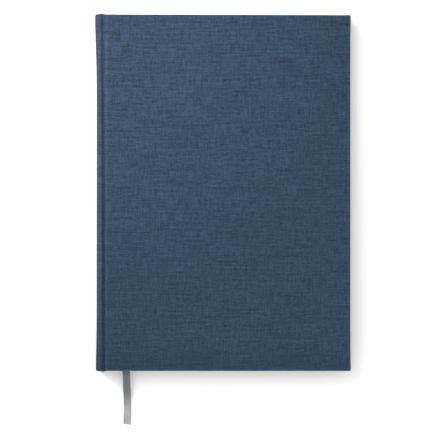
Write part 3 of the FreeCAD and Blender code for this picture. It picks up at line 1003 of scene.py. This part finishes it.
def leaf_xs(bend_end, end):
    """x along a leaf: close together where it bends, then wide apart."""
    near = np.linspace(BLOCK_START + FOLD_SPACE, bend_end, 14)
    far = [x for x in FAR_XS if x > bend_end + 4]
    return np.concatenate([near, far, [end]])


def folded_sheet(z_middle, radius, thickness, bend_end, shuffle):
    """One folded sheet's outline: x, z and which of its two leaves each point is on."""
    centre = BLOCK_START + FOLD_SPACE
    ends = [LEAF_END + shuffle.uniform(-LONGEST_TRIM, 0.0) for _ in range(2)]
    upper = leaf_xs(bend_end, ends[0])[::-1]
    lower = leaf_xs(bend_end, ends[1])
    line = [(x, z_middle + radius, 0) for x in upper]
    for turn in np.linspace(math.pi / 2, 3 * math.pi / 2, 7)[1:-1]:
        line.append((centre + radius * math.cos(turn), z_middle + radius * math.sin(turn),
                     0 if turn < math.pi else 1))
    line += [(x, z_middle - radius, 1) for x in lower]
    return strip_outline(line, thickness)


def strip_outline(line, thickness):
    """A line of (x, z, leaf) given a thickness: a closed outline."""
    flat = np.array([(x, z) for x, z, _ in line])
    along = np.gradient(flat, axis=0)
    along /= np.linalg.norm(along, axis=1)[:, None]
    normal = np.column_stack([-along[:, 1], along[:, 0]]) * thickness / 2
    left = [(*p, leaf) for p, (_, _, leaf) in zip(flat + normal, line)]
    right = [(*p, leaf) for p, (_, _, leaf) in zip(flat - normal, line)]
    return left + right[::-1]


def add_sheet(store, outline, shuffle):
    """Runs an outline from tail to head, each leaf trimmed a touch differently."""
    points, uv, faces = store
    trims = [[shuffle.uniform(-LONGEST_END_TRIM, 0.0) for _ in range(2)] for _ in range(2)]
    first = len(points)
    for share in LEAF_YS:
        for x, z, leaf in outline:
            trim = trims[leaf][0 if share < 0 else 1]
            y = share * (HALF_LEAF + trim)
            points.append((x, y, z))
            uv.append((x - BLOCK_START, y))
    faces += tube_faces(len(LEAF_YS), len(outline), first)


def make_leaves(name, piece, store, material):
    """The piece for one leaf body."""
    points, uv, faces = store
    obj = make_piece(piece, points, faces, uv)
    outward(obj)
    shade(obj, material)
    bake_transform(obj)
    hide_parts(name)
    return obj


def make_section(name, bend_reach):
    """A sewn section: folded sheets one inside the other, with points close together next to the fold.
    """
    shuffle = random.Random(name)
    low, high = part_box(name)
    leaves = round((high.z - low.z) / MM / LEAF_PITCH)
    pitch = (high.z - low.z) / MM / leaves
    middle = (low.z + high.z) / 2 / MM
    bend_end = pivot_of(name) + bend_reach
    store = ([], [], [])
    for sheet in range(leaves // 2):
        radius = pitch * (sheet + 0.5)
        add_sheet(store, folded_sheet(middle, radius, pitch - LEAF_GAP, bend_end, shuffle), shuffle)
    return make_leaves(name, name + "_sheets", store, PAGE)


def make_leaf(name, thickness, bend_end, material):
    """A single leaf, with points close together next to the fold."""
    shuffle = random.Random(name)
    low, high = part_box(name)
    z = (low.z + high.z) / 2 / MM
    bends_all_along = bend_end > LEAF_END
    near = np.linspace(BLOCK_START + LEAF_CLEARANCE, min(bend_end, NEAR_END), 12)
    far = np.linspace(FAR_START, LEAF_END - LEAF_CLEARANCE, 24 if bends_all_along else 6)
    line = [(x, z, 0) for x in np.concatenate([near, far])]
    store = ([], [], [])
    add_sheet(store, strip_outline(line, thickness), shuffle)
    make_leaves(name, name + "_paper", store, material)


def make_block():
    """All leaves: the sewn sections, the two flyleaves and the two leaves caught turning."""
    for name, reach in BEND_REACH.items():
        obj = make_section(name, reach)
        if name == "section_06":
            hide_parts("section_folds")
    for name in ("front_flyleaf", "back_flyleaf"):
        make_leaf(name, FLYLEAF_THICKNESS, pivot_of(name) + FLYLEAF_BEND, ENDPAPER)
    for name in ("turning_leaf_1", "turning_leaf_2"):
        make_leaf(name, TURNING_THICKNESS, TURNING_BEND_END, PAGE)


def make_inner_ribbon():
    """The ribbon inside the block, lying on section 6."""
    obj = ribbon_mesh("ribbon_inner_satin", inner_stations())
    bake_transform(obj)
    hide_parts("ribbon_in_block", "ribbon_glued_end")


# Head and tail bands

BEAD_RADIUS, BEAD_END = 0.95, 0.25
BEAD_SHIFT, BEAD_STANDS_OUT = 0.05, 1.0
WRAPS, POINTS_PER_WRAP, WRAP_SWELL = 30, 4, 0.07
AROUND_BEAD = 20


def make_band(name, side):
    """A bead wrapped with thread, at the head (side 1) or tail (side -1) of the folds."""
    low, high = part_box(name)
    centre_x = (low.x + high.x) / 2 / MM - SPINE_FACE / MM + BEAD_SHIFT
    centre_y = side * (HALF_LEAF + BEAD_STANDS_OUT)
    rows = WRAPS * POINTS_PER_WRAP + 1
    points, uv = [], []
    for t in [row / (rows - 1) for row in range(rows)]:
        z = low.z / MM + t * (high.z / MM - low.z / MM)
        fullness = math.sqrt(max(1 - (2 * t - 1) ** 8, 0.0))
        swell = 1 + WRAP_SWELL * math.cos(t * WRAPS * 2 * math.pi)
        size = BEAD_RADIUS * (BEAD_END + (1 - BEAD_END) * fullness) * swell
        for turn in [2 * math.pi * c / AROUND_BEAD for c in range(AROUND_BEAD)]:
            points.append((centre_x + size * math.cos(turn), centre_y + size * math.sin(turn), z))
            uv.append((turn, z))
    obj = make_piece(name + "_silk", points, tube_faces(rows, AROUND_BEAD), uv)
    outward(obj)
    shade(obj, BAND, 60)
    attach(obj, "spine")
    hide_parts(name)


def dress(node, material):
    """A carried-over CAD node gets its procedural material."""
    obj = frame["nodes"][node]
    obj.data.materials.clear()
    obj.data.materials.append(material)


def dress_linings():
    """Materials for the carried-over boards, linings and thread."""
    board = greyboard()
    for node in ("front_board", "back_board", "spine_board"):
        dress(node, board)
    mull = woven_lining("mull_net", (222, 216, 198), 0.9)
    for node in ("mull", "front_mull_flap", "back_mull_flap"):
        dress(node, mull)
    dress("kraft_liner", woven_lining("kraft", (170, 134, 96), 0.35))
    dress("sewing_thread", linen_thread())


# Studio: the soft lamps as watts, size and place; the key as a spot with a cone in radians

FLOOR_REACH = 4.0
SKY = 1.07
SOFTBOX = (19.0, 1.74, (-1.34, 1.25, 1.77))
WINDOW = (114.0, 0.8, (-2.6, 2.05, 0.68))
KEY_POWER, KEY_RADIUS, KEY_CONE = 53.5, 0.06, 0.338
KEY_PLACE, KEY_TARGET = (-0.446, 0.754, 1.234), (-0.122, 0.159, 0)


def make_floor():
    """A plain pale floor under the book."""
    mesh = bpy.data.meshes.new("floor")
    reach = FLOOR_REACH
    corners = [(-reach, -reach, 0), (reach, -reach, 0), (reach, reach, 0), (-reach, reach, 0)]
    mesh.from_pydata(corners, [], [(0, 1, 2, 3)])
    floor = bpy.data.objects.new("floor", mesh)
    bpy.context.scene.collection.objects.link(floor)
    floor.data.materials.append(studio_floor())


def aim(name, data, place, target):
    """Puts a lamp in place, turned to its target and kept out of the picture itself."""
    lamp = bpy.data.objects.new(name, data)
    lamp.location = place
    lamp.rotation_mode = "QUATERNION"
    lamp.rotation_quaternion = (Vector(target) - Vector(place)).to_track_quat("-Z", "Y")
    lamp.visible_camera = False
    bpy.context.scene.collection.objects.link(lamp)


def softbox(name, power, size, place):
    """A round soft lamp aimed at the middle of the book."""
    data = bpy.data.lights.new(name, "AREA")
    data.shape = "DISK"
    data.size = size
    data.energy = power
    aim(name, data, place, (0, 0, 0))


def make_light():
    """White studio: an even sky, and from the upper left a softbox, a low window and a soft spot."""
    studio = bpy.data.worlds.new("studio")
    studio.use_nodes = True
    background = studio.node_tree.nodes["Background"]
    background.inputs["Color"].default_value = (1.0, 1.0, 1.0, 1.0)
    background.inputs["Strength"].default_value = SKY
    bpy.context.scene.world = studio
    softbox("softbox", *SOFTBOX)
    softbox("window", *WINDOW)
    key = bpy.data.lights.new("key", "SPOT")
    key.energy = KEY_POWER
    key.shadow_soft_size = KEY_RADIUS
    key.spot_size = KEY_CONE
    key.spot_blend = 1.0
    aim("key", key, KEY_PLACE, KEY_TARGET)
    bpy.context.scene.view_settings.view_transform = "Standard"


make_camera()
make_tail()
make_inner_ribbon()
make_case("back")
make_case("front")
make_pastedown("back")
make_pastedown("front")
make_block()
make_band("headband", 1)
make_band("tailband", -1)
dress_linings()
make_floor()
make_light()
